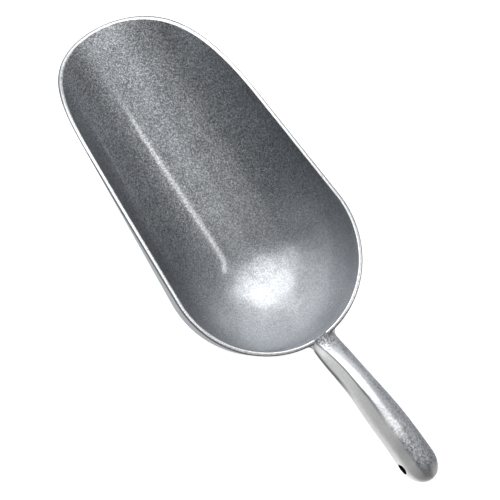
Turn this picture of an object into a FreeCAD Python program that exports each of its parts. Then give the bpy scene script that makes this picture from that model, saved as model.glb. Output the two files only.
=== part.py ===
"""Cast aluminium ice scoop: a round-bottomed bowl with an open lip, a hollow grip
and the fillet metal that ties the grip to the bowl's rim.

Everything is drawn in the bowl's casting frame: the trough's axis is X, the tip is
at +X, and the origin is the centre of the rounded rear.  One placement then tips the
casting so that the line along the bottom of the trough lies level on z = 0.
"""

import FreeCAD, Part

import math
import os

import Sketcher

# Each driving dimension: cell alias, value in millimetres or degrees, meaning.
DIMENSIONS = [
    ("inner_radius", 60.0, "inside radius of the rounded rear and of the trough"),
    ("wall", 2.5, "thickness of the cast wall"),
    ("taper_angle", 3.83, "half angle of the trough, which narrows to the tip"),
    ("form_length", 186.0, "length of the blank forms ahead of the rear centre"),
    ("column_height", 24.0, "height of the upright rear wall before the rim is cut"),
    ("hollow_height", 60.0, "height of the column that clears the bowl's mouth"),
    ("rim_height", 9.6, "rim above the trough axis at the rear centre"),
    ("rim_angle", 8.03, "fall of the rim towards the tip, from the trough axis"),
    ("lip_start", 88.0, "where the straight rim turns down into the lip"),
    ("lip_radius", 141.6, "side-view radius of the lip"),
    ("rim_round", 0.7, "rounding of the rim's edges"),
    ("trim_margin", 10.0, "reach of the rim's cutting outline behind and below the form"),
    ("trim_headroom", 5.0, "reach of the rim's cutting outline above the form"),
    ("trim_lead", 20.0, "reach of the rim's cutting outline ahead of the form"),
    ("web_front", 50.0, "front end of the fillet metal's blank, inside the bowl's wall"),
    ("web_reach", 70.0, "rear end of the fillet metal, from the rear centre"),
    ("web_rim_width", 17.0, "half width of the fillet metal where it meets the rim"),
    ("web_neck_width", 9.4, "half width of the fillet metal where it meets the grip"),
    ("web_rim_back", 59.6, "where the fillet metal leaves the rim, from the rear centre"),
    ("web_radius", 9.0, "hollow radius of the fillet metal in plan"),
    ("web_depth", 13.0, "height of the fillet metal"),
    ("web_top", 9.0, "top of the fillet metal at the rear centre, parallel to the rim"),
    ("recess_angle", 20.0, "slope of the grip and of the recess under it"),
    ("recess_front", 82.0, "front end of the recess, from the rear centre"),
    ("recess_length", 66.0, "length between the centres of the recess's round ends"),
    ("recess_front_radius", 4.6, "radius of the recess's front end"),
    ("recess_rear_radius", 6.6, "radius of the recess's rear end"),
    ("recess_roof", 29.0, "height of the recess's roof at its front end"),
    ("hang_radius", 3.6, "radius of the hang hole"),
    ("hang_reach", 148.0, "hang hole behind the rear centre"),
    ("hang_height", 46.6, "hang hole above the trough axis"),
]

# Each section of the grip, from the bowl to the end: distance behind the rear centre,
# height of its middle, slope, half width and height of the crown's edges, half width
# and depth of the underside, radius of the sides and radius of the crown.
GRIP_FIELDS = ("back", "up", "slope", "crown", "ridge", "sole", "depth", "side", "top")
GRIP_SECTIONS = [
    (53.0, 9.5, 20.0, 5.0, 4.6, 5.0, 5.4, 7.0, 14.0),
    (67.0, 17.2, 24.0, 5.4, 7.0, 6.4, 6.6, 9.4, 16.0),
    (90.0, 28.6, 23.0, 4.8, 8.2, 7.0, 8.2, 10.8, 14.0),
    (118.0, 39.0, 20.0, 5.6, 8.6, 8.0, 9.0, 11.8, 16.0),
    (145.0, 46.4, 16.0, 6.2, 8.0, 8.6, 8.0, 10.6, 16.0),
    (156.0, 49.4, 16.0, 5.2, 6.4, 6.6, 6.2, 7.9, 13.0),
    (161.5, 50.9, 16.0, 2.4, 3.0, 3.0, 3.0, 3.8, 6.0),
]

# How an edge is told to lie on the rim: points tried along it, and the distance in
# millimetres that each may be off.
POINTS_TRIED = 7
OFF_RIM = 0.001

PLAN = "XY_Plane"
SIDE = "XZ_Plane"
ACROSS = "YZ_Plane"

doc = FreeCAD.newDocument("ice_scoop")


def make_sheet():
    """The spreadsheet of driving dimensions, one alias per cell."""
    cells = doc.addObject("Spreadsheet::Sheet", "Sizes")
    rows = list(DIMENSIONS)
    for number, values in enumerate(GRIP_SECTIONS):
        for field, value in zip(GRIP_FIELDS, values):
            rows.append((grip_alias(field, number), value, "grip section %d" % number))
    for row, (alias, value, meaning) in enumerate(rows, start=1):
        cells.set("A%d" % row, meaning)
        cells.set("B%d" % row, str(value))
        cells.setAlias("B%d" % row, alias)
    doc.recompute()
    return cells


def grip_alias(field, number):
    """The cell alias of one measure of one grip section."""
    return "grip_%s_%s" % (field, "abcdefg"[number])


def size(alias):
    """A driving dimension's value."""
    return float(sheet.get(alias))


def new_body(name):
    """An empty body."""
    return doc.addObject("PartDesign::Body", name)


def new_sketch(body, name, role):
    """A sketch flat on one of the body's own origin planes."""
    plane = next(f for f in body.Origin.OriginFeatures if f.Role == role)
    sketch = body.newObject("Sketcher::SketchObject", name)
    sketch.AttachmentSupport = [(plane, "")]
    sketch.MapMode = "FlatFace"
    return sketch


def bind(sketch, constraint, expression):
    """Add a dimension to a sketch and tie it to the sheet."""
    index = sketch.addConstraint(constraint)
    sketch.setExpression("Constraints[%d]" % index, expression)


def line(x1, y1, x2, y2):
    """A straight sketch edge."""
    return Part.LineSegment(FreeCAD.Vector(x1, y1, 0), FreeCAD.Vector(x2, y2, 0))


def arc(x, y, radius, start, end):
    """A circular sketch edge, anticlockwise between two angles in degrees."""
    circle = Part.Circle(FreeCAD.Vector(x, y, 0), FreeCAD.Vector(0, 0, 1), radius)
    return Part.ArcOfCircle(circle, math.radians(start), math.radians(end))


def join(sketch, pairs):
    """Join edge ends, each given as (edge, end, edge, end) with 1 start and 2 end."""
    for first, first_end, second, second_end in pairs:
        sketch.addConstraint(
            Sketcher.Constraint("Coincident", first, first_end, second, second_end))


def end_width(radius_expression):
    """The expression for the trough's half width at the form's front end."""
    lean = "Sizes.taper_angle * 1 deg"
    return "(%s) / cos(%s) - Sizes.form_length * tan(%s)" % (radius_expression, lean, lean)


def half_outline(body, name, radius, expression):
    """Half of the trough's plan: a quarter round, the tapering side and the axis."""
    taper = size("taper_angle")
    front = size("form_length")
    lean = math.radians(taper)
    touch_x = radius * math.sin(lean)
    touch_y = radius * math.cos(lean)
    end_y = touch_y - (front - touch_x) * math.tan(lean)
    sketch = new_sketch(body, name, PLAN)
    sketch.addGeometry([
        arc(0, 0, radius, 90 - taper, 180),
        line(touch_x, touch_y, front, end_y),
        line(front, end_y, front, 0),
        line(front, 0, -radius, 0),
    ])
    join(sketch, [(1, 2, 2, 1), (2, 2, 3, 1), (3, 2, 0, 2), (0, 3, -1, 1)])
    sketch.addConstraint(Sketcher.Constraint("Tangent", 0, 1, 1, 1))
    sketch.addConstraint(Sketcher.Constraint("Vertical", 2))
    sketch.addConstraint(Sketcher.Constraint("PointOnObject", 3, 1, -1))
    sketch.addConstraint(Sketcher.Constraint("PointOnObject", 3, 2, -1))
    bind(sketch, Sketcher.Constraint("Radius", 0, radius), expression)
    bind(sketch, Sketcher.Constraint("DistanceX", -1, 1, 3, 1, front), "Sizes.form_length")
    bind(sketch, Sketcher.Constraint("DistanceY", -1, 1, 1, 2, end_y), end_width(expression))
    return sketch


def full_outline(body, name, radius, expression):
    """The trough's whole plan: a half round and two tapering sides."""
    taper = size("taper_angle")
    front = size("form_length")
    lean = math.radians(taper)
    touch_x = radius * math.sin(lean)
    touch_y = radius * math.cos(lean)
    end_y = touch_y - (front - touch_x) * math.tan(lean)
    sketch = new_sketch(body, name, PLAN)
    sketch.addGeometry([
        arc(0, 0, radius, 90 - taper, 270 + taper),
        line(touch_x, touch_y, front, end_y),
        line(front, end_y, front, -end_y),
        line(front, -end_y, touch_x, -touch_y),
    ])
    join(sketch, [(1, 2, 2, 1), (2, 2, 3, 1), (0, 3, -1, 1)])
    sketch.addConstraint(Sketcher.Constraint("Tangent", 0, 1, 1, 1))
    sketch.addConstraint(Sketcher.Constraint("Tangent", 0, 2, 3, 2))
    sketch.addConstraint(Sketcher.Constraint("Symmetric", 2, 1, 2, 2, -1))
    bind(sketch, Sketcher.Constraint("Radius", 0, radius), expression)
    bind(sketch, Sketcher.Constraint("DistanceX", -1, 1, 2, 1, front), "Sizes.form_length")
    bind(sketch, Sketcher.Constraint("DistanceY", -1, 1, 2, 1, end_y), end_width(expression))
    return sketch


def make_form(name, radius, expression, height_alias):
    """A solid trough: the half round below the axis, an upright column above it."""
    body = new_body(name)
    lower = body.newObject("PartDesign::Revolution", name + "Trough")
    lower.Profile = half_outline(body, name + "Half", radius, expression)
    lower.ReferenceAxis = (lower.Profile[0], ["H_Axis"])
    lower.Angle = 180
    lower.Reversed = True
    upper = body.newObject("PartDesign::Pad", name + "Column")
    upper.Profile = full_outline(body, name + "Plan", radius, expression)
    upper.setExpression("Length", "Sizes." + height_alias)
    doc.recompute()
    return body


def cut_rim(body, radius):
    """Trim a form along the rim: a straight fall, then the lip down to the tip."""
    fall = math.radians(size("rim_angle"))
    start = size("lip_start")
    bend = size("lip_radius")
    back = -radius - size("trim_margin")
    rear_z = size("rim_height") - back * math.tan(fall)
    start_z = size("rim_height") - start * math.tan(fall)
    centre_x = start - bend * math.sin(fall)
    centre_z = start_z - bend * math.cos(fall)
    floor_z = -radius - size("trim_margin")
    lip_end = math.asin((floor_z - centre_z) / bend)
    lip_x = centre_x + bend * math.cos(lip_end)
    roof_z = size("hollow_height") + size("trim_headroom")
    front_x = size("form_length") + size("trim_lead")
    sketch = new_sketch(body, body.Name + "Rim", SIDE)
    sketch.addGeometry([
        line(back, rear_z, start, start_z),
        arc(centre_x, centre_z, bend, math.degrees(lip_end), 90 - size("rim_angle")),
        line(lip_x, floor_z, front_x, floor_z),
        line(front_x, floor_z, front_x, roof_z),
        line(front_x, roof_z, back, roof_z),
        line(back, roof_z, back, rear_z),
    ])
    join(sketch, [(1, 1, 2, 1), (2, 2, 3, 1), (3, 2, 4, 1), (4, 2, 5, 1), (5, 2, 0, 1)])
    sketch.addConstraint(Sketcher.Constraint("Tangent", 0, 2, 1, 2))
    sketch.addConstraint(Sketcher.Constraint("Horizontal", 2))
    sketch.addConstraint(Sketcher.Constraint("Vertical", 3))
    sketch.addConstraint(Sketcher.Constraint("Horizontal", 4))
    sketch.addConstraint(Sketcher.Constraint("Vertical", 5))
    bind(sketch, Sketcher.Constraint("Radius", 1, bend), "Sizes.lip_radius")
    bind(sketch, Sketcher.Constraint("DistanceY", -1, 1, 0, 1, rear_z),
         "Sizes.rim_height + (Sizes.inner_radius + Sizes.wall + Sizes.trim_margin)"
         " * tan(Sizes.rim_angle * 1 deg)")
    bind(sketch, Sketcher.Constraint("DistanceX", -1, 1, 0, 2, start), "Sizes.lip_start")
    bind(sketch, Sketcher.Constraint("DistanceY", 0, 2, -1, 1, -start_z),
         "Sizes.lip_start * tan(Sizes.rim_angle * 1 deg) - Sizes.rim_height")
    sketch.addConstraint(Sketcher.Constraint("DistanceX", 0, 1, -1, 1, -back))
    sketch.addConstraint(Sketcher.Constraint("DistanceY", 2, 1, -1, 1, -floor_z))
    sketch.addConstraint(Sketcher.Constraint("DistanceX", -1, 1, 3, 1, front_x))
    sketch.addConstraint(Sketcher.Constraint("DistanceY", -1, 1, 3, 2, roof_z))
    cut_pocket(body, body.Name + "Trim", sketch, True)


def grip_section(body, number):
    """One closed section of the grip: crown arc, two bulging sides and a flat sole."""
    back, up, slope, crown, ridge, sole, depth, side, top = GRIP_SECTIONS[number]

    def cell(field):
        return "Sizes." + grip_alias(field, number)

    chord = math.hypot(crown - sole, ridge + depth)
    inset = math.sqrt(side ** 2 - chord ** 2 / 4)
    side_x = (crown + sole) / 2 - inset * (ridge + depth) / chord
    side_y = (ridge - depth) / 2 + inset * (crown - sole) / chord
    low = math.degrees(math.atan2(-depth - side_y, sole - side_x))
    high = math.degrees(math.atan2(ridge - side_y, crown - side_x))
    top_y = ridge - math.sqrt(top ** 2 - crown ** 2)
    top_start = math.degrees(math.atan2(ridge - top_y, crown))
    sketch = new_sketch(body, "GripSection" + "ABCDEFG"[number], ACROSS)
    sketch.addGeometry([
        arc(0, top_y, top, top_start, 180 - top_start),
        arc(-side_x, side_y, side, 180 - high, 180 - low),
        line(-sole, -depth, sole, -depth),
        arc(side_x, side_y, side, low, high),
    ])
    join(sketch, [(0, 2, 1, 1), (1, 2, 2, 1), (2, 2, 3, 1), (3, 2, 0, 1)])
    sketch.addConstraint(Sketcher.Constraint("Symmetric", 0, 1, 0, 2, -2))
    sketch.addConstraint(Sketcher.Constraint("Symmetric", 2, 1, 2, 2, -2))
    bind(sketch, Sketcher.Constraint("Radius", 0, top), cell("top"))
    bind(sketch, Sketcher.Constraint("Radius", 1, side), cell("side"))
    bind(sketch, Sketcher.Constraint("Radius", 3, side), cell("side"))
    bind(sketch, Sketcher.Constraint("DistanceX", -1, 1, 0, 1, crown), cell("crown"))
    bind(sketch, Sketcher.Constraint("DistanceY", -1, 1, 0, 1, ridge), cell("ridge"))
    bind(sketch, Sketcher.Constraint("DistanceX", -1, 1, 2, 2, sole), cell("sole"))
    bind(sketch, Sketcher.Constraint("DistanceY", 2, 2, -1, 1, depth), cell("depth"))
    sketch.AttachmentOffset = FreeCAD.Placement(
        FreeCAD.Vector(0, up, -back), FreeCAD.Rotation(FreeCAD.Vector(1, 0, 0), slope))
    sketch.setExpression(".AttachmentOffset.Base.y", cell("up"))
    sketch.setExpression(".AttachmentOffset.Base.z", "-" + cell("back"))
    sketch.setExpression(".AttachmentOffset.Rotation.Angle", cell("slope") + " * 1 deg")
    return sketch


def make_grip():
    """The grip's blank: a loft through its sections, hollowed from below and drilled."""
    body = new_body("GripForm")
    sections = [grip_section(body, number) for number in range(len(GRIP_SECTIONS))]
    doc.recompute()
    loft = body.newObject("PartDesign::AdditiveLoft", "GripLoft")
    loft.Profile = sections[0]
    loft.Sections = sections[1:]
    doc.recompute()

    front = size("recess_front_radius")
    rear = size("recess_rear_radius")
    reach = size("recess_length")
    lean = math.degrees(math.asin((rear - front) / reach))
    low_front = (front * math.sin(math.radians(lean)), front * math.cos(math.radians(lean)))
    low_rear = (rear * math.sin(math.radians(lean)), rear * math.cos(math.radians(lean)))
    slot = new_sketch(body, "RecessPlan", PLAN)
    slot.addGeometry([
        arc(0, 0, front, -90 - lean, 90 + lean),
        line(-low_front[0], low_front[1], -reach - low_rear[0], low_rear[1]),
        arc(-reach, 0, rear, 90 + lean, 270 - lean),
        line(-reach - low_rear[0], -low_rear[1], -low_front[0], -low_front[1]),
    ])
    slot.addConstraint(Sketcher.Constraint("Coincident", 0, 3, -1, 1))
    slot.addConstraint(Sketcher.Constraint("PointOnObject", 2, 3, -1))
    slot.addConstraint(Sketcher.Constraint("Tangent", 0, 2, 1, 1))
    slot.addConstraint(Sketcher.Constraint("Tangent", 1, 2, 2, 1))
    slot.addConstraint(Sketcher.Constraint("Tangent", 2, 2, 3, 1))
    slot.addConstraint(Sketcher.Constraint("Tangent", 3, 2, 0, 1))
    bind(slot, Sketcher.Constraint("Radius", 0, front), "Sizes.recess_front_radius")
    bind(slot, Sketcher.Constraint("Radius", 2, rear), "Sizes.recess_rear_radius")
    bind(slot, Sketcher.Constraint("DistanceX", 2, 3, -1, 1, reach), "Sizes.recess_length")
    slot.AttachmentOffset = FreeCAD.Placement(
        FreeCAD.Vector(-size("recess_front"), 0, size("recess_roof")),
        FreeCAD.Rotation(FreeCAD.Vector(0, 1, 0), size("recess_angle")))
    slot.setExpression(".AttachmentOffset.Base.x", "-Sizes.recess_front")
    slot.setExpression(".AttachmentOffset.Base.z", "Sizes.recess_roof")
    slot.setExpression(".AttachmentOffset.Rotation.Angle", "Sizes.recess_angle * 1 deg")
    cut_pocket(body, "Recess", slot, False)

    hole = new_sketch(body, "HangHolePlan", SIDE)
    hole.addGeometry(Part.Circle(
        FreeCAD.Vector(-size("hang_reach"), size("hang_height"), 0),
        FreeCAD.Vector(0, 0, 1), size("hang_radius")))
    bind(hole, Sketcher.Constraint("Radius", 0, size("hang_radius")), "Sizes.hang_radius")
    bind(hole, Sketcher.Constraint("DistanceX", 0, 3, -1, 1, size("hang_reach")),
         "Sizes.hang_reach")
    bind(hole, Sketcher.Constraint("DistanceY", -1, 1, 0, 3, size("hang_height")),
         "Sizes.hang_height")
    cut_pocket(body, "HangHole", hole, True)
    return body


def cut_pocket(body, name, sketch, both_ways):
    """Cut right through a body from a sketch, and make sure that metal was removed."""
    before = body.Shape.Volume
    pocket = body.newObject("PartDesign::Pocket", name)
    pocket.Profile = sketch
    pocket.Type = "ThroughAll"
    pocket.Midplane = both_ways
    doc.recompute()
    if body.Shape.Volume >= before:
        raise RuntimeError(name + " removed nothing")


def make_web():
    """The fillet metal's blank: a short plate with hollow sides, parallel to the rim."""
    front = size("web_front")
    rim_back = size("web_rim_back")
    reach = size("web_reach")
    rim_y = size("web_rim_width")
    neck_y = size("web_neck_width")
    radius = size("web_radius")
    chord = math.hypot(reach - rim_back, rim_y - neck_y)
    inset = math.sqrt(radius ** 2 - chord ** 2 / 4)
    hub_x = -(rim_back + reach) / 2 - inset * (rim_y - neck_y) / chord
    hub_y = (rim_y + neck_y) / 2 + inset * (reach - rim_back) / chord
    rim_turn = math.degrees(math.atan2(rim_y - hub_y, -rim_back - hub_x))
    neck_turn = math.degrees(math.atan2(neck_y - hub_y, -reach - hub_x))
    body = new_body("WebForm")
    sketch = new_sketch(body, "WebPlan", PLAN)
    sketch.addGeometry([
        line(-front, -rim_y, -front, rim_y),
        line(-front, rim_y, -rim_back, rim_y),
        arc(hub_x, hub_y, radius, neck_turn, rim_turn),
        line(-reach, neck_y, -reach, -neck_y),
        arc(hub_x, -hub_y, radius, -rim_turn, -neck_turn),
        line(-rim_back, -rim_y, -front, -rim_y),
    ])
    join(sketch, [(0, 2, 1, 1), (1, 2, 2, 2), (2, 1, 3, 1), (3, 2, 4, 2), (4, 1, 5, 1),
                  (5, 2, 0, 1)])
    sketch.addConstraint(Sketcher.Constraint("Symmetric", 0, 1, 0, 2, -1))
    sketch.addConstraint(Sketcher.Constraint("Symmetric", 3, 1, 3, 2, -1))
    sketch.addConstraint(Sketcher.Constraint("Horizontal", 1))
    sketch.addConstraint(Sketcher.Constraint("Horizontal", 5))
    sketch.addConstraint(Sketcher.Constraint("Vertical", 1, 2, 5, 1))
    bind(sketch, Sketcher.Constraint("Radius", 2, radius), "Sizes.web_radius")
    bind(sketch, Sketcher.Constraint("Radius", 4, radius), "Sizes.web_radius")
    bind(sketch, Sketcher.Constraint("DistanceX", 0, 1, -1, 1, front), "Sizes.web_front")
    bind(sketch, Sketcher.Constraint("DistanceX", 1, 2, -1, 1, rim_back), "Sizes.web_rim_back")
    bind(sketch, Sketcher.Constraint("DistanceX", 3, 1, -1, 1, reach), "Sizes.web_reach")
    bind(sketch, Sketcher.Constraint("DistanceY", -1, 1, 0, 2, rim_y), "Sizes.web_rim_width")
    bind(sketch, Sketcher.Constraint("DistanceY", -1, 1, 3, 1, neck_y), "Sizes.web_neck_width")
    sketch.AttachmentOffset = FreeCAD.Placement(
        FreeCAD.Vector(0, 0, size("web_top")),
        FreeCAD.Rotation(FreeCAD.Vector(0, 1, 0), size("rim_angle")))
    sketch.setExpression(".AttachmentOffset.Base.z", "Sizes.web_top")
    sketch.setExpression(".AttachmentOffset.Rotation.Angle", "Sizes.rim_angle * 1 deg")
    plate = body.newObject("PartDesign::Pad", "WebPlate")
    plate.Profile = sketch
    plate.Reversed = True
    plate.setExpression("Length", "Sizes.web_depth")
    doc.recompute()
    return body


def cut_by(base, name, *tools):
    """The base less each tool in turn."""
    for number, tool in enumerate(tools, start=1):
        cut = doc.addObject("Part::Cut", "%sCut%d" % (name, number))
        cut.Base = base
        cut.Tool = tool
        doc.recompute()
        base = cut
    return base


def rim_edges(shape):
    """The numbers of the long edges on the bowl's rim, inside and outside."""
    fall = math.tan(math.radians(size("rim_angle")))
    bend = size("lip_radius")
    lean = math.radians(size("rim_angle"))
    start = size("lip_start")
    centre_x = start - bend * math.sin(lean)
    centre_z = size("rim_height") - start * fall - bend * math.cos(lean)
    found = []
    for number, edge in enumerate(shape.Edges, start=1):
        if edge.Degenerated or edge.Length < 2 * size("wall"):
            continue
        points = edge.discretize(POINTS_TRIED)
        straight = all(abs(p.z - size("rim_height") + p.x * fall) < OFF_RIM for p in points)
        curved = all(abs(math.hypot(p.x - centre_x, p.z - centre_z) - bend) < OFF_RIM
                     for p in points)
        if straight or curved:
            found.append(number)
    return found


def round_rim(shell):
    """The bowl with both edges of its rim rounded."""
    rounded = doc.addObject("Part::Fillet", "RoundedBowl")
    rounded.Base = shell
    radius = size("rim_round")
    rounded.Edges = [(number, radius, radius) for number in rim_edges(shell.Shape)]
    doc.recompute()
    return rounded


def place(parts):
    """Tip the parts until the trough's bottom line is level, then stand them on z = 0
    with the middle of their common box over the origin."""
    level = FreeCAD.Rotation(FreeCAD.Vector(0, 1, 0), size("taper_angle"))
    tipped = [part.Shape.transformed(FreeCAD.Placement(FreeCAD.Vector(), level).Matrix)
              for part in parts]
    box = Part.makeCompound(tipped).optimalBoundingBox(False)
    shift = FreeCAD.Vector(-(box.XMin + box.XMax) / 2, 0, -box.ZMin)
    for part in parts:
        part.Placement = FreeCAD.Placement(shift, level)
    doc.recompute()


def check(parts):
    """Stop if any feature failed or any part is not one closed, valid solid."""
    for item in doc.Objects:
        if "Invalid" in item.State or "Error" in item.State:
            raise RuntimeError(item.Name + " failed")
    for part in parts:
        shape = part.Shape
        if shape.isNull() or not shape.isValid() or len(shape.Solids) != 1:
            raise RuntimeError(part.Label + " is not one valid solid")


sheet = make_sheet()
inside = size("inner_radius")
outside = inside + size("wall")
bowl_form = make_form("BowlForm", outside, "Sizes.inner_radius + Sizes.wall", "column_height")
cut_rim(bowl_form, outside)
hollow_form = make_form("HollowForm", inside, "Sizes.inner_radius", "hollow_height")
grip_form = make_grip()
web_form = make_web()

bowl = round_rim(cut_by(bowl_form, "Bowl", hollow_form))
bowl.Label = "bowl"
handle = cut_by(grip_form, "Handle", bowl_form, hollow_form)
handle.Label = "handle"
neck_fillet = cut_by(web_form, "Neck", bowl_form, hollow_form, grip_form)
neck_fillet.Label = "neck_fillet"

pieces = [bowl, handle, neck_fillet]
place(pieces)
check(pieces)
os.makedirs("parts", exist_ok=True)
for piece in pieces:
    piece.Shape.exportStep("parts/%s.step" % piece.Label)
    print(piece.Label, round(piece.Shape.Volume), piece.Shape.optimalBoundingBox(False))
print("placement", pieces[0].Placement)
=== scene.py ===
import math

import bmesh
import bpy
import numpy as np
from mathutils import Matrix, Vector


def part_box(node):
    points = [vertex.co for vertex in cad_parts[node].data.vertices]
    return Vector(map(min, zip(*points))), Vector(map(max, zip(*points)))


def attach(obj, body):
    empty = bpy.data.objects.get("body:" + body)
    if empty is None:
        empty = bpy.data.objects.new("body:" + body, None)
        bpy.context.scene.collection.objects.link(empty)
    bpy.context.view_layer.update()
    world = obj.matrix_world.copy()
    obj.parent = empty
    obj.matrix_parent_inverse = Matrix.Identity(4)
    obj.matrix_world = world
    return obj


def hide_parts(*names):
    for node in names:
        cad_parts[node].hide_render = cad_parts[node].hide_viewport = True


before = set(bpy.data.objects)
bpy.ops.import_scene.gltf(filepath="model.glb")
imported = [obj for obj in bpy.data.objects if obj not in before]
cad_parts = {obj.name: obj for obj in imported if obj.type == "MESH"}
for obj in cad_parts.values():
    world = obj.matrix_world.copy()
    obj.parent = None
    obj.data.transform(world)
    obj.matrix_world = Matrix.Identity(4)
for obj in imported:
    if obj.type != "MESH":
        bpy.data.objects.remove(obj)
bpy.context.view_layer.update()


# Camera
# A long lens almost straight above the bowl, leaning towards the grip's left side, and
# turned so that the grip points to the lower right of the picture.
bowl_low, bowl_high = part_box("bowl")
outer_radius = (bowl_high.y - bowl_low.y) / 2
rear_centre = np.array([bowl_low.x + outer_radius, 0.0, bowl_low.z + outer_radius])

camera_place = Vector((0.1376, 0.2157, 0.8252))
camera_turn = Vector((-0.3430, -0.1863, -2.1265))
focal_in_widths = 2.6

camera_data = bpy.data.cameras.new("camera")
camera_data.sensor_width = 36.0
camera_data.lens = focal_in_widths * camera_data.sensor_width
camera = bpy.data.objects.new("camera", camera_data)
turn = Matrix.Rotation(camera_turn.length, 4, camera_turn.normalized())
camera.matrix_world = Matrix.Translation(camera_place) @ turn
bpy.context.scene.collection.objects.link(camera)
bpy.context.scene.camera = camera


# Bowl
# A cast trough: a quarter sphere at the rear runs into a slightly tapering half round
# that ends in a thin scooping lip.  The skin is blasted, and the rim is ground bright.
wall = 0.0025
inner_radius = outer_radius - wall
taper = math.radians(3.83)
rim_height = 0.0096
rim_fall = math.radians(8.03)
lip_start = 0.088
lip_radius = 0.1416
rim_round = 0.0006
rim_squareness = 2.6
lip_bevel = 0.0014


def stand(points):
    """Casting frame to row frame: tip the nose down by the taper, then lift the centre
    of the rounded rear to its place."""
    x, y, z = np.moveaxis(points, -1, 0)
    tipped_x = x * math.cos(taper) + z * math.sin(taper)
    tipped_z = z * math.cos(taper) - x * math.sin(taper)
    return np.stack([tipped_x, y, tipped_z], axis=-1) + rear_centre


def trough_radius(x):
    """Radius about the trough's axis: the sphere up to where the cone touches it, then
    the cone, which narrows in proportion to x."""
    sphere = np.sqrt(np.maximum(inner_radius ** 2 - x ** 2, 0.0))
    cone = inner_radius / math.cos(taper) - x * math.tan(taper)
    return np.where(x < inner_radius * math.sin(taper), sphere, cone)


def wall_point(p, q):
    """Point and outward normal of the bowl's inside over a flat chart.  Behind p = 0 the
    chart is polar: distance from the centre is the angle up from the sphere's bottom.
    Ahead of it, p is the distance along the trough and q the angle round it, both over
    the radius.  Past a quarter turn the wall stands upright."""
    angle = np.where(p < 0, np.hypot(p, q), np.abs(q))
    heading = np.where(p < 0, np.arctan2(q, p), np.sign(q) * math.pi / 2)
    along = np.where(p < 0, 0.0, p * inner_radius)
    radius = np.where(p < 0, inner_radius, trough_radius(along))
    low = np.minimum(angle, math.pi / 2)
    high = np.maximum(angle - math.pi / 2, 0.0)
    flat = np.sin(low)
    outward = np.stack([flat * np.cos(heading), flat * np.sin(heading), -np.cos(low)], -1)
    point = outward * radius[..., None]
    point[..., 0] += along
    point[..., 2] += radius * high
    lean = np.where(p < 0, 0.0, np.minimum(along / inner_radius, math.sin(taper)))
    normal = outward * np.sqrt(1 - lean ** 2)[..., None]
    normal[..., 0] += lean
    return point, normal


def rim_chart(inset, count):
    """The rim on the chart, from the rear to the tip: level fall, then an arc in side
    view until it meets the trough's bottom, resampled evenly by its length."""
    fall = math.tan(rim_fall)
    height = rim_height - inset
    rear_steps, straight_steps, lip_steps, steepest = 200, 400, 4000, 1.1
    heading = np.linspace(math.pi, math.pi / 2, rear_steps)
    rear = math.pi / 2 + (height - inner_radius * np.cos(heading) * fall) / inner_radius
    bend_x = lip_start - lip_radius * math.sin(rim_fall)
    bend_z = rim_height - lip_start * fall - lip_radius * math.cos(rim_fall)
    bend = lip_radius - inset
    dip = np.linspace(rim_fall, steepest, lip_steps)
    along = np.concatenate([np.linspace(0, lip_start, straight_steps)[1:],
                            bend_x + bend * np.sin(dip)])
    straight = height - np.minimum(along, lip_start) * fall
    arc = bend_z + np.sqrt(np.maximum(bend ** 2 - (along - bend_x) ** 2, 0))
    level = np.where(along <= lip_start, straight, arc)
    radius = trough_radius(along)
    keep = level > -radius
    drop = np.clip(-level / radius, -1, 1)
    angle = np.where(level < 0, np.arccos(drop), math.pi / 2 + level / radius)
    p = np.concatenate([rear * np.cos(heading), along[keep] / inner_radius])
    q = np.concatenate([rear * np.sin(heading), angle[keep]])
    q[-1] = 0.0
    q[0] = 0.0
    length = np.concatenate([[0], np.cumsum(np.hypot(np.diff(p), np.diff(q)))])
    share = length / length[-1]
    even = np.linspace(0, 1, count)
    side = share[rear_steps - 1]
    return np.interp(even, share, p), np.interp(even, share, q), even, side


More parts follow.
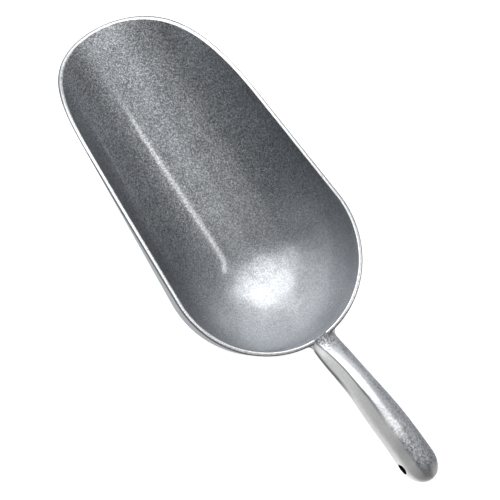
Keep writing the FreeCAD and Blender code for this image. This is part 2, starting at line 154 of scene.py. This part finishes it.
def bowl_shell():
    """The closed wall, and a level for each point: 1 on the rim's top, which the grinding
    reaches, 0 inside, -0.5 outside, and -1 on a band just under the rim's outer edge, which is
    painted dark as shade.  Lines cross the chart from rim to rim; each carries the inside, the
    rounded rim (half a squared-off ellipse), the outside and the other rim.  Towards the tip
    the outside reaches further than the inside, which bevels the lip."""
    rows, across, around = 361, 121, 13
    p_rim, q_rim, share, side = rim_chart(rim_round, rows)
    p_far, q_far, _, _ = rim_chart(rim_round - lip_bevel, rows)
    bevelled = np.interp(share, [0, 0.62, 0.85, 1], [0, 0, 1, 1])
    p_out = p_rim + bevelled * (p_far - p_rim)
    q_out = q_rim + bevelled * (q_far - q_rim)
    v = np.linspace(-1, 1, across)
    skins = []
    for p_edge, q_edge in ((p_rim, q_rim), (p_out, q_out)):
        p_keel = np.interp(share, [0, side, 1], [p_edge[0], 0, p_edge[-1]])
        skins.append(wall_point(p_keel[:, None] + (p_edge - p_keel)[:, None] * np.abs(v),
                                q_edge[:, None] * v))
    (inside, normal), (outside, far_normal) = skins
    outside = outside + far_normal * wall
    turn_by = np.linspace(0, math.pi, around)[1:-1]
    sweep = np.sign(np.cos(turn_by)) * np.abs(np.cos(turn_by)) ** (2 / rim_squareness)
    lift = np.sin(turn_by) ** (2 / rim_squareness)
    bands = []
    for end, sign in ((-1, 1.0), (0, -1.0)):
        edge, out = inside[:, end], normal[:, end]
        run = np.gradient(edge, axis=0)
        run[0] = [0.0, sign, 0.0]
        run[-1] = [0.0, -sign, 0.0]
        up = np.cross(run, out) * sign
        up /= np.linalg.norm(up, axis=1)[:, None]
        middle, reach = (edge + outside[:, end]) / 2, (outside[:, end] - edge) / 2
        bands.append(middle[:, None] - reach[:, None] * sweep[:, None]
                     + up[:, None] * (lift * rim_round)[:, None])
    grid = np.concatenate([inside, bands[0], outside[:, ::-1], bands[1][:, ::-1]], axis=1)
    rough_from = np.radians(np.interp(share, [0, 0.6, 0.8, 1], [122, 122, 100, 85]))
    fade = 0.13
    top = np.clip((rough_from[:, None] - turn_by) / fade, -1, 1)
    top[:, 0] = 0.4
    under = np.full((rows, across), -0.5)
    under[:, [0, 1, -2, -1]] = -1
    grind_and_shade = np.concatenate([np.zeros((rows, across)), top, under, top[:, ::-1]], axis=1)
    return stand(grid), grind_and_shade


def add_grid(name, grid, closed_columns, values=None, attribute=None):
    """A piece from a grid of points: four neighbours make a face, the last column joins
    the first if asked, and one value per point can be kept as an attribute."""
    rows, columns = grid.shape[:2]
    index = np.arange(rows * columns).reshape(rows, columns)
    if closed_columns:
        index = np.concatenate([index, index[:, :1]], axis=1)
    faces = np.stack([index[:-1, :-1], index[1:, :-1], index[1:, 1:], index[:-1, 1:]], -1)
    mesh = bpy.data.meshes.new(name)
    mesh.from_pydata(grid.reshape(-1, 3), [], faces.reshape(-1, 4).tolist())
    if attribute:
        layer = mesh.attributes.new(attribute, "FLOAT", "POINT")
        layer.data.foreach_set("value", np.ascontiguousarray(values, float).ravel())
    mesh.update()
    piece = bpy.data.objects.new(name, mesh)
    bpy.context.scene.collection.objects.link(piece)
    return piece


def tidy_mesh(piece, gap=0.00002):
    """Merge doubled points, drop faces with no area, turn the faces outwards, smooth."""
    work = bmesh.new()
    work.from_mesh(piece.data)
    bmesh.ops.remove_doubles(work, verts=work.verts, dist=gap)
    bmesh.ops.dissolve_degenerate(work, edges=work.edges, dist=gap / 4)
    bmesh.ops.recalc_face_normals(work, faces=work.faces)
    work.to_mesh(piece.data)
    work.free()
    piece.data.polygons.foreach_set("use_smooth", [True] * len(piece.data.polygons))


points, grind_and_shade = bowl_shell()
bowl = add_grid("bowl_shell", points, True, grind_and_shade, "grind_and_shade")
tidy_mesh(bowl)
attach(bowl, "root")
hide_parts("bowl")


def cast_metal(name):
    """A new metal material, its node tree, its shader and the place on the object."""
    material = bpy.data.materials.new(name)
    material.use_nodes = True
    tree = material.node_tree
    metal = tree.nodes["Principled BSDF"]
    metal.inputs["Metallic"].default_value = 1.0
    return material, tree, metal, tree.nodes.new("ShaderNodeTexCoord").outputs["Object"]


def cloud(tree, place, scale, detail=2.0, harshness=0.5):
    """Soft random patches from 0 to 1, about one over the scale metres across."""
    noise = tree.nodes.new("ShaderNodeTexNoise")
    noise.inputs["Scale"].default_value = scale
    noise.inputs["Detail"].default_value = detail
    noise.inputs["Roughness"].default_value = harshness
    tree.links.new(place, noise.inputs["Vector"])
    return noise.outputs["Fac"]


def crystals(tree, place, scale):
    """Small cells, each with one random level from 0 to 1."""
    cells = tree.nodes.new("ShaderNodeTexVoronoi")
    cells.inputs["Scale"].default_value = scale
    level = tree.nodes.new("ShaderNodeSeparateColor")
    tree.links.new(place, cells.inputs["Vector"])
    tree.links.new(cells.outputs["Color"], level.inputs["Color"])
    return level.outputs["Red"]


def spread(tree, value, low, high, to_low, to_high):
    """A value stretched from one range to another and held at its ends."""
    ramp = tree.nodes.new("ShaderNodeMapRange")
    for name, number in (("From Min", low), ("From Max", high),
                         ("To Min", to_low), ("To Max", to_high)):
        ramp.inputs[name].default_value = number
    tree.links.new(value, ramp.inputs["Value"])
    return ramp.outputs["Result"]


def joined(tree, kind, first, *others):
    """Values or sockets added, multiplied or otherwise joined by Math nodes, in order."""
    for other in others:
        joint = tree.nodes.new("ShaderNodeMath")
        joint.operation = kind
        for socket, value in zip(joint.inputs, (first, other)):
            if isinstance(value, (int, float)):
                socket.default_value = value
            else:
                tree.links.new(value, socket)
        first = joint.outputs["Value"]
    return first


def off_by(tree, value, level):
    """How far a value is from a level, either way."""
    return joined(tree, "ABSOLUTE", joined(tree, "SUBTRACT", value, level), 0.0)


def band(tree, value, rise_from, rise_to, fall_from, fall_to):
    """1 between two limits of a value and 0 outside them, with soft edges."""
    return joined(tree, "MULTIPLY", spread(tree, value, rise_from, rise_to, 0, 1),
                  spread(tree, value, fall_from, fall_to, 1, 0))


def tint(tree, factor, first, second):
    """One colour going over into another, either of them a colour or a socket."""
    blend = tree.nodes.new("ShaderNodeMix")
    blend.data_type = "RGBA"
    tree.links.new(factor, blend.inputs["Factor"])
    for name, colour in (("A", first), ("B", second)):
        socket = [i for i in blend.inputs if i.name == name and i.type == "RGBA"][0]
        if isinstance(colour, tuple):
            socket.default_value = (*colour, 1)
        else:
            tree.links.new(colour, socket)
    return [o for o in blend.outputs if o.type == "RGBA"][0]


def relief(tree, metal, height, depth, strength):
    """The height of a fine texture, in metres, as bump on the metal."""
    bump = tree.nodes.new("ShaderNodeBump")
    bump.inputs["Distance"].default_value = depth
    bump.inputs["Strength"].default_value = strength
    tree.links.new(height, bump.inputs["Height"])
    tree.links.new(bump.outputs["Normal"], metal.inputs["Normal"])


def kept_value(tree, name):
    """The value that the mesh keeps for each point under this name."""
    kept = tree.nodes.new("ShaderNodeAttribute")
    kept.attribute_name = name
    return kept.outputs["Fac"]


# The skin's tone runs from dark to bright by the blasted grain, which is finer and
# brighter at the rear; the clear coat stands for the skin's smooth sheen.
blasted, tree, metal, place = cast_metal("blasted_aluminium")
dark_skin, bright_skin = (0.170, 0.178, 0.196), (0.91, 0.945, 0.98)
metal.inputs["Coat Roughness"].default_value = 0.13
metal.inputs["Coat IOR"].default_value = 1.75
split = tree.nodes.new("ShaderNodeSeparateXYZ")
tree.links.new(place, split.inputs["Vector"])
place_x, place_y, place_z = split.outputs["X"], split.outputs["Y"], split.outputs["Z"]
middle_tone = 0.31
speckle = joined(tree, "ADD", joined(tree, "POWER", crystals(tree, place, 2300), 2.2),
                 spread(tree, cloud(tree, place, 1250, 1.5, 0.6), 0.3, 0.7, -0.1, 0.1))
coarse = spread(tree, place_x, -0.03, 0.035, 0.42, 1.0)
grain = joined(tree, "MULTIPLY", joined(tree, "SUBTRACT", speckle, middle_tone), coarse)
stain = spread(tree, cloud(tree, place, 55, 3.0), 0.3, 0.7, -0.05, 0.05)
brighter_rear = spread(tree, place_x, -0.055, -0.010, 0.13, 0)
tone = joined(tree, "ADD", grain, middle_tone, stain, brighter_rear)
skin = tint(tree, tone, dark_skin, bright_skin)

# A painted reflection runs along the left wall as a faint bright line at one height above the
# trough's bottom, and painted shade darkens the wall towards the left rim.
reflection_line_below_axis = 0.0381
axis_level = rear_centre[0] * math.sin(taper) + rear_centre[2] * math.cos(taper)
level = joined(tree, "ADD", joined(tree, "MULTIPLY", place_x, math.sin(taper)),
               joined(tree, "MULTIPLY", place_z, math.cos(taper)))
off_reflection_line = off_by(tree, level, axis_level - reflection_line_below_axis)
painted_reflection_line = joined(tree, "MULTIPLY", spread(tree, off_reflection_line, 0.0001, 0.0004, 0.42, 0),
              band(tree, place_x, 0.010, 0.028, 0.100, 0.125),
              spread(tree, place_y, 0.0, 0.01, 0, 1))
skin = tint(tree, painted_reflection_line, skin, (0.95, 0.97, 1.0))
# Painted shade: the wall's colour darkens towards the left rim.
shade = spread(tree, place_y, 0.030, 0.046, 0, 0.45)
skin = tint(tree, shade, skin, (0.16, 0.17, 0.19))

# Outside, the skin is plainer and has no sheen; the rim's top is ground and nicked.
grind_and_shade_by = kept_value(tree, "grind_and_shade")
outer = spread(tree, grind_and_shade_by, -0.4, -0.1, 1, 0)
skin = tint(tree, joined(tree, "MULTIPLY", outer, 0.65), skin, (0.50, 0.51, 0.52))
# Painted shade: a dark band along the outside just under the rim's outer edge.
painted_shade_under_rim = spread(tree, grind_and_shade_by, -0.9, -0.6, 1, 0)
skin = tint(tree, painted_shade_under_rim, skin, (0.14, 0.145, 0.15))
rim = spread(tree, grind_and_shade_by, 0.25, 0.75, 0, 1)
nicks = spread(tree, cloud(tree, place, 700, 3.0, 0.7), 0.35, 0.6, 0, 1)
worn = tint(tree, nicks, (0.78, 0.79, 0.80), (0.93, 0.94, 0.95))
roughness = joined(tree, "ADD", spread(tree, speckle, 0, 1, 0.48, 0.38),
                   joined(tree, "MULTIPLY", rim, -0.16))
edge_tint = tint(tree, outer, (1.0, 1.0, 1.0), (0.55, 0.56, 0.58))
tree.links.new(tint(tree, rim, skin, worn), metal.inputs["Base Color"])
tree.links.new(roughness, metal.inputs["Roughness"])
tree.links.new(spread(tree, outer, 0, 1, 1, 0), metal.inputs["Coat Weight"])
tree.links.new(edge_tint, metal.inputs["Specular Tint"])
relief(tree, metal, joined(tree, "MULTIPLY", speckle, coarse), 0.00008, 0.5)
bowl.data.materials.append(blasted)


# Grip
# The handle is cast in one with the bowl: a house-shaped section with a soft ridge along
# each side, hollowed from below and bored for hanging.  Tumbling left it bright and
# mottled on the crown and plainer on its sides.
grip_front, grip_end = 0.0555, 0.1628
cap_length, cap_squareness = 0.0155, 2.15
recess_front, recess_rear, recess_half = 0.082, 0.148, 0.0062
bore_reach, bore_height, bore_radius = 0.1488, 0.0470, 0.0036
# One row per station, in millimetres: reach behind the bowl's centre, height, half width,
# ridge's distance from the middle, ridge's rise, crown's rise, ridge's softness, depth
# below the widest line, half width of the sole.
grip_stations = 0.001 * np.array([
    (54.0, 13.4, 7.5, 5.6, 2.4, 2.7, 0.8, 5.0, 5.0),
    (60.0, 15.7, 8.2, 5.6, 2.3, 2.6, 0.7, 5.6, 5.6),
    (64.5, 17.3, 8.5, 5.0, 1.6, 1.9, 0.6, 6.2, 6.0),
    (69.0, 19.2, 8.8, 4.0, 1.8, 2.2, 0.4, 6.6, 6.3),
    (75.0, 22.7, 9.05, 3.6, 3.6, 4.1, 0.2, 7.0, 6.6),
    (84.0, 28.4, 9.05, 3.5, 5.7, 6.2, 0.2, 7.6, 7.0),
    (95.0, 34.5, 9.25, 3.9, 6.9, 7.4, 0.3, 8.2, 7.4),
    (106.0, 38.8, 10.1, 3.8, 7.3, 7.9, 0.7, 8.8, 8.0),
    (118.0, 43.1, 10.75, 4.5, 6.8, 7.6, 1.2, 9.2, 8.8),
    (132.0, 47.8, 10.75, 5.6, 6.3, 7.2, 1.7, 9.3, 9.6),
    (148.0, 50.4, 11.05, 5.3, 5.8, 6.7, 1.9, 9.2, 10.2),
    (166.0, 52.7, 11.85, 5.2, 5.5, 6.3, 1.9, 9.0, 10.2),
])


def between_stations(at):
    """Station values at any reach: a cubic through each pair of stations, its slopes
    taken from the neighbours."""
    reach, table = grip_stations[:, 0], grip_stations[:, 1:]
    slope = np.gradient(table, reach, axis=0)
    i = np.clip(np.searchsorted(reach, at) - 1, 0, len(reach) - 2)
    step = (reach[i + 1] - reach[i])[:, None]
    u = (at[:, None] - reach[i][:, None]) / step
    start = (2 * u ** 3 - 3 * u ** 2 + 1) * table[i] + (u - 1) ** 2 * u * step * slope[i]
    stop = (3 - 2 * u) * u ** 2 * table[i + 1] + (u - 1) * u ** 2 * step * slope[i + 1]
    return start + stop


def spline_ring(ring, steps):
    """A closed smooth curve drawn by a ring of control points: the uniform cubic
    B-spline, four weights times four neighbouring points on each span."""
    t = np.linspace(0, 1, steps, endpoint=False)
    weights = np.stack([(1 - t) ** 3, 3 * t ** 3 - 6 * t ** 2 + 4,
                        -3 * t ** 3 + 3 * t ** 2 + 3 * t + 1, t ** 3], -1) / 6
    near = np.stack([np.roll(ring, shift, axis=-2) for shift in (1, 0, -1, -2)], axis=-2)
    curve = np.einsum("tk,...nkd->...ntd", weights, near)
    return curve.reshape(*ring.shape[:-2], -1, ring.shape[-1])


def half_ring(at, softer, lower):
    """Control points of one half of the section at each reach: crown, ridge, straight
    side, widest line, sole, and up into the hollow, which opens and closes in a round."""
    roof_round, sole_land, roof_drop, edge_round = 0.004, 0.0016, 0.0004, 0.0012
    height, half, ridge_y, ridge_h, crown, soft, depth, sole = between_stations(at).T
    soft = np.minimum(soft + softer, 0.5 * ridge_y)
    ridge_h = ridge_h - lower
    shoulder_y, shoulder_h = ridge_y - soft, ridge_h + 0.25 * soft
    inside = np.minimum(at - recess_front, recess_rear - at)
    open_by = np.sqrt(1 - (1 - np.clip(inside / roof_round, 0, 1)) ** 2)
    wide_by = np.sqrt(1 - (1 - np.clip(inside / recess_half, 0, 1)) ** 2)
    gap = np.minimum(recess_half * np.maximum(wide_by, 0.25), sole - sole_land)
    roof = -depth + open_by * (depth - roof_drop)
    side = half - ridge_y
    slant = np.hypot(side, ridge_h)
    zero = np.zeros_like(at)
    corners = [
        (zero, crown),
        (0.5 * shoulder_y, 0.8 * crown + 0.2 * shoulder_h),
        (shoulder_y, shoulder_h),
        (ridge_y + soft * side / slant, ridge_h - soft * ridge_h / slant),
        (ridge_y + 0.55 * side, 0.5 * ridge_h),
        (1.01 * half, zero),
        (half, -0.62 * depth),
        (sole + sole_land / 2, -depth),
        (gap + 0.75 * edge_round, -depth),
        (gap, -depth + edge_round * open_by),
        (0.97 * gap, (roof - depth) / 2),
        (0.9 * gap, roof),
        (zero, roof),
    ]
    return np.stack([np.stack(corner, -1) for corner in corners], axis=1), height


def grip_control(at):
    """The whole ring: a crisper half, and a half whose ridge is dressed softer and
    lower by hand."""
    crisp, height = half_ring(at, softer=0.0, lower=0.0)
    dressed, _ = half_ring(at, softer=0.0013, lower=0.0005)
    back = dressed[:, 1:-1][:, ::-1] * np.array([-1, 1])
    return np.concatenate([crisp, back], axis=1), height


def grip_grid():
    """The grip's skin: its section carried along the reach and square to its slope,
    drawn in at the end by a squared-off ellipse.  At the front it is coped to the bowl's
    wall: above the rim it lies over the wall's top, and below it is let into the wall."""
    body_rows, end_rows, span_steps = 200, 36, 6
    cover_drop, cover_fade, seat_gap, seat_step = 0.0006, 0.0012, 0.00005, 0.0013
    cap_start = grip_end - cap_length
    body = np.linspace(grip_front, cap_start, body_rows)
    end = grip_end - cap_length * (1 - np.sin(np.linspace(0, math.pi / 2, end_rows)[1:-1]))
    at = np.concatenate([body, end, [grip_end]])
    control, height = grip_control(at)
    section = spline_ring(control, span_steps)
    past = np.clip((at - cap_start) / cap_length, 0, 1)
    drawn_in = (1 - past ** cap_squareness) ** (1 / cap_squareness)
    section = section * drawn_in[:, None, None]
    slope = np.arctan(np.gradient(height, at))[:, None]
    x = -at[:, None] + section[..., 1] * np.sin(slope)
    y = section[..., 0]
    z = height[:, None] + section[..., 1] * np.cos(slope)
    rim_top = rim_height - x * math.tan(rim_fall)
    sunk = np.clip((rim_top - cover_drop - z) / cover_fade, 0, 1)
    cope = inner_radius - seat_gap + seat_step * sunk
    x = np.minimum(x, -np.sqrt(cope ** 2 - y ** 2))
    grid = np.stack([x, y, z], -1)
    nose = grid[0].mean(axis=0)
    return np.concatenate([np.broadcast_to(nose, grid[:1].shape), grid]), at


def map_grid(piece, u, v):
    """A UV map of two values given per grid point."""
    layer = piece.data.uv_layers.new(name="along_across")
    corner = np.empty(len(piece.data.loops), np.int32)
    piece.data.loops.foreach_get("vertex_index", corner)
    pair = np.stack([u.ravel()[corner], v.ravel()[corner]], -1)
    layer.data.foreach_set("uv", pair.astype(np.float32).ravel())


# The map's first value is the reach.  The second goes round from 0 on the crown to 1 on
# the recess's roof, positive on the left side.
points, grip_at = grip_grid()
grip = add_grid("grip", stand(points), True)
columns = points.shape[1]
along = np.broadcast_to(np.concatenate([grip_at[:1], grip_at])[:, None], points.shape[:2])
round_share = (np.arange(columns) / columns * 2 + 1) % 2 - 1
across = np.broadcast_to(round_share, points.shape[:2])
map_grid(grip, along, across)
tidy_mesh(grip)

# The hang hole is cut by a capped cylinder longer than the grip is wide.
bore_sides, bore_half_length = 48, 0.02
bore_centre = stand(np.array([[-bore_reach, 0.0, bore_height]]))[0]
turn_by = np.linspace(0, 2 * math.pi, bore_sides, endpoint=False)
ends = np.array([-1.0, -1.0, 1.0, 1.0])[:, None] * bore_half_length
radii = np.array([0.0, 1.0, 1.0, 0.0])[:, None] * bore_radius
bore_x, bore_z = radii * np.cos(turn_by), radii * np.sin(turn_by)
bore_points = np.stack([bore_x, np.broadcast_to(ends, bore_x.shape), bore_z], -1)
bore = add_grid("bore", bore_points + bore_centre, True)
tidy_mesh(bore)
drill = grip.modifiers.new("drill", "BOOLEAN")
drill.object = bore
drill.solver = "EXACT"
bpy.context.view_layer.update()
drilled_grip = grip.evaluated_get(bpy.context.evaluated_depsgraph_get())
drilled = bpy.data.meshes.new_from_object(drilled_grip)
grip.modifiers.clear()
grip.data = drilled
bpy.data.objects.remove(bore)
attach(grip, "root")
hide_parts("handle")

# Three skins meet along the map: the crown, bright with dark pits that thicken at both ends,
# and by the bowl darkened further with painted shade on the nose; the right side, pitted all
# over and painted darker as shade; and the left side and the end, plain, with a painted
# highlight that lightens the left side towards the end.
tumbled, tree, metal, place = cast_metal("tumbled_aluminium")
chart = tree.nodes.new("ShaderNodeUVMap")
chart.uv_map = "along_across"
chart_parts = tree.nodes.new("ShaderNodeSeparateXYZ")
tree.links.new(chart.outputs["UV"], chart_parts.inputs["Vector"])
along_grip, across_grip = chart_parts.outputs["X"], chart_parts.outputs["Y"]
end_face = spread(tree, along_grip, 0.1545, 0.1590, 0, 1)
left_face = joined(tree, "MAXIMUM", spread(tree, across_grip, 0.17, 0.22, 0, 1), end_face)
right_face = spread(tree, across_grip, -0.13, -0.27, 0, 1)
specks = spread(tree, cloud(tree, place, 820, 4.0, 0.75), 0.38, 0.62, 0, 1)
patches = spread(tree, cloud(tree, place, 190, 3.0), 0.3, 0.7, -0.25, 0.25)
# Near the bowl the pits are thickened into painted shade that darkens the nose.
nose_pits_and_shade = spread(tree, along_grip, 0.0635, 0.0725, 1.7, 0.25)
far_end = spread(tree, along_grip, 0.105, 0.140, 0.0, 0.70)
pits_and_nose_shade = joined(tree, "MULTIPLY", joined(tree, "ADD", nose_pits_and_shade, far_end),
                joined(tree, "ADD", specks, patches))
fine = cloud(tree, place, 1300, 2.0, 0.6)
crown_skin = tint(tree, pits_and_nose_shade, (0.84, 0.85, 0.88), (0.20, 0.21, 0.225))
# The right side is painted darker than the left, as shade.
right_skin_painted_shade = tint(tree, specks, (0.48, 0.50, 0.53), (0.20, 0.21, 0.225))
left_skin = tint(tree, spread(tree, fine, 0.3, 0.7, 0, 1), (0.58, 0.58, 0.58),
                 (0.72, 0.72, 0.725))
# Painted highlight: the left side lightens towards the end.
left_skin = tint(tree, spread(tree, along_grip, 0.135, 0.155, 0, 0.6), left_skin,
                 (0.93, 0.93, 0.94))
skin = tint(tree, left_face, tint(tree, right_face, crown_skin, right_skin_painted_shade), left_skin)

# The underside is painted darker as shade, with specks.  A painted dark line of shade follows
# the left ridge, painted shade darkens the left side's underside near the bowl, and the hang
# hole, which the map leaves at zero, is painted black as shade.
underside = spread(tree, off_by(tree, across_grip, 0.0), 0.57, 0.62, 0, 1)
painted_underside_shade = tint(tree, specks, (0.50, 0.51, 0.53), (0.32, 0.33, 0.34))
skin = tint(tree, underside, skin, painted_underside_shade)
# Painted shade: a dark line along the left ridge, fading towards the end.
ridge_shade_line = joined(tree, "MULTIPLY", band(tree, across_grip, 0.165, 0.190, 0.225, 0.260),
                    spread(tree, along_grip, 0.100, 0.125, 0.9, 0))
skin = tint(tree, ridge_shade_line, skin, (0.22, 0.23, 0.25))
# Painted shade under the left side near the bowl.
shade_under_left_side = joined(tree, "MULTIPLY", spread(tree, across_grip, 0.385, 0.42, 0, 1),
              spread(tree, along_grip, 0.085, 0.100, 1, 0))
skin = tint(tree, shade_under_left_side, skin, (0.14, 0.145, 0.15))
# Painted shade: the hang hole is painted black, and its reflections are darkened too.
bore_shade = spread(tree, along_grip, 0.005, 0.01, 1, 0)
skin = tint(tree, bore_shade, skin, (0.01, 0.01, 0.01))
edge_tint = tint(tree, bore_shade, (1.0, 1.0, 1.0), (0.05, 0.05, 0.05))
sides = joined(tree, "MAXIMUM", left_face, right_face)
pits = joined(tree, "MULTIPLY", joined(tree, "SUBTRACT", 1.0, left_face), specks)
tree.links.new(skin, metal.inputs["Base Color"])
tree.links.new(spread(tree, sides, 0, 1, 0.40, 0.60), metal.inputs["Roughness"])
tree.links.new(edge_tint, metal.inputs["Specular Tint"])
relief(tree, metal, joined(tree, "ADD", fine, pits), 0.00014, 0.5)
grip.data.materials.append(tumbled)


# Neck webs
# Where the grip leaves the bowl, a small cast web fills the corner on each side, just
# under the rim, and is buffed bright with it.
web_top_drop, web_edge, web_depth = 0.0016, 0.0010, 0.0115
web_seat = inner_radius + 0.0014
# Each at the top, and how much less it is at the foot: the hollow's radius, and the
# distance from the middle at which it meets the grip's side.
web_hollow, web_hollow_less = 0.0046, 0.0034
web_side, web_side_less = 0.0088, 0.0052


def web_grid():
    """One closed form under the grip's head.  Its plan is the wall's own arc closed by
    two hollow arcs, each touching the wall's outside and the grip's side; going down,
    the hollow arcs shrink, and the top edge is rounded over."""
    edge_rows, side_rows, hollow_points, wall_points = 8, 14, 25, 31
    turn_by = np.linspace(0, math.pi / 2, edge_rows)
    inset = np.concatenate([web_edge * (1 - np.sin(turn_by)), np.zeros(side_rows)])
    fall = np.concatenate([web_edge * (1 - np.cos(turn_by)),
                           np.linspace(web_edge, web_depth, side_rows + 1)[1:]])
    share = fall / web_depth
    hollow = web_hollow - web_hollow_less * share
    side_y = web_side - web_side_less * share ** 1.5
    centre_y = side_y + hollow
    centre_x = -np.sqrt((outer_radius + hollow) ** 2 - centre_y ** 2)
    wall_angle = np.arctan2(-centre_y, -centre_x)
    t = np.linspace(0, 1, hollow_points)
    angle = wall_angle[:, None] + (-math.pi / 2 - wall_angle[:, None]) * t
    radius = (hollow + inset)[:, None]
    arc_x = centre_x[:, None] + radius * np.cos(angle)
    arc_y = centre_y[:, None] + radius * np.sin(angle)
    wall_turn = np.arcsin(arc_y[:, :1] / outer_radius) * np.linspace(-1, 1, wall_points)
    wall_x = -web_seat * np.cos(wall_turn)
    wall_y = web_seat * np.sin(wall_turn)
    x = np.concatenate([wall_x, arc_x, arc_x[:, ::-1]], axis=1)
    y = np.concatenate([wall_y, arc_y, -arc_y[:, ::-1]], axis=1)
    z = rim_height - x * math.tan(rim_fall) - web_top_drop - fall[:, None]
    grid = np.stack([x, y, z], -1)
    top, foot = grid[0].mean(axis=0), grid[-1].mean(axis=0)
    return np.concatenate([np.broadcast_to(top, grid[:1].shape), grid,
                           np.broadcast_to(foot, grid[:1].shape)])


webs = add_grid("neck_webs", stand(web_grid()), True)
tidy_mesh(webs)
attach(webs, "root")
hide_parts("neck_fillet")

buffed, tree, metal, place = cast_metal("buffed_aluminium")
scuff = spread(tree, cloud(tree, place, 900, 3.0, 0.7), 0.35, 0.65, 0, 1)
skin = tint(tree, scuff, (0.68, 0.69, 0.70), (0.82, 0.83, 0.84))
tree.links.new(skin, metal.inputs["Base Color"])
tree.links.new(spread(tree, scuff, 0, 1, 0.50, 0.42), metal.inputs["Roughness"])
relief(tree, metal, scuff, 0.00002, 0.3)
webs.data.materials.append(buffed)


# Floor and light
# A white table lit from within, a dim room, soft round lamps that stand mostly ahead of
# the bowl, and one narrow lamp overhead that draws a line along the trough.
table_size = 30.0
half = table_size / 2
floor_mesh = bpy.data.meshes.new("table")
floor_mesh.from_pydata([(-half, -half, 0), (half, -half, 0), (half, half, 0), (-half, half, 0)],
                       [], [(0, 1, 2, 3)])
floor = bpy.data.objects.new("table", floor_mesh)
bpy.context.scene.collection.objects.link(floor)
white = bpy.data.materials.new("white_table")
white.use_nodes = True
paint = white.node_tree.nodes["Principled BSDF"]
paint.inputs["Base Color"].default_value = (0.85, 0.85, 0.85, 1)
paint.inputs["Roughness"].default_value = 0.8
paint.inputs["Emission Color"].default_value = (1, 1, 1, 1)
paint.inputs["Emission Strength"].default_value = 0.8
floor.data.materials.append(white)

room = bpy.data.worlds.new("room")
room.use_nodes = True
room.node_tree.nodes["Background"].inputs["Color"].default_value = (1, 1, 1, 1)
room.node_tree.nodes["Background"].inputs["Strength"].default_value = 0.03
bpy.context.scene.world = room

lit_point = Vector((0, 0, 0.06))
lamp_distance, lamp_size = 1.4, 0.7
# Azimuth and elevation in degrees, and power in watts.
round_lamps = [
    (0, 12, 1.50),
    (36, 12, 0.59),
    (252, 12, 1.29),
    (18, 30, 3.44),
    (54, 30, 1.50),
    (90, 30, 0.12),
    (306, 30, 1.37),
    (342, 30, 3.52),
    (0, 48, 1.78),
    (36, 48, 1.53),
    (108, 48, 0.43),
    (324, 48, 2.45),
    (26, 65, 2.06),
    (129, 65, 0.21),
    (334, 65, 1.34),
    (180, 80, 0.54),
]


def add_lamp(name, shape, size, power, at, length_way=None):
    """An area lamp at a point, facing the scoop, its length along the given way."""
    data = bpy.data.lights.new(name, "AREA")
    data.shape = shape
    data.size, data.size_y = size
    data.energy = power
    lamp = bpy.data.objects.new(name, data)
    back = (at - lit_point).normalized()
    side = (length_way or Vector((-back.y, back.x, 0.0))).normalized()
    side = (side - back * side.dot(back)).normalized()
    lamp.matrix_world = Matrix((side, back.cross(side), back)).transposed().to_4x4()
    lamp.location = at
    bpy.context.scene.collection.objects.link(lamp)


for number, (azimuth, elevation, power) in enumerate(round_lamps, start=1):
    azimuth, elevation = math.radians(azimuth), math.radians(elevation)
    away = Vector((math.cos(azimuth) * math.cos(elevation),
                   math.sin(azimuth) * math.cos(elevation), math.sin(elevation)))
    add_lamp("round_lamp_%d" % number, "DISK", (lamp_size, lamp_size), power,
             lit_point + away * lamp_distance)

line_size, line_power = (0.36, 0.11), 0.80
line_place, line_way = Vector((-0.095, -0.625, 1.128)), Vector((-0.835, 0.491, 0.247))
add_lamp("line_lamp", "RECTANGLE", line_size, line_power, line_place, line_way)

bpy.context.scene.view_settings.view_transform = "Standard"
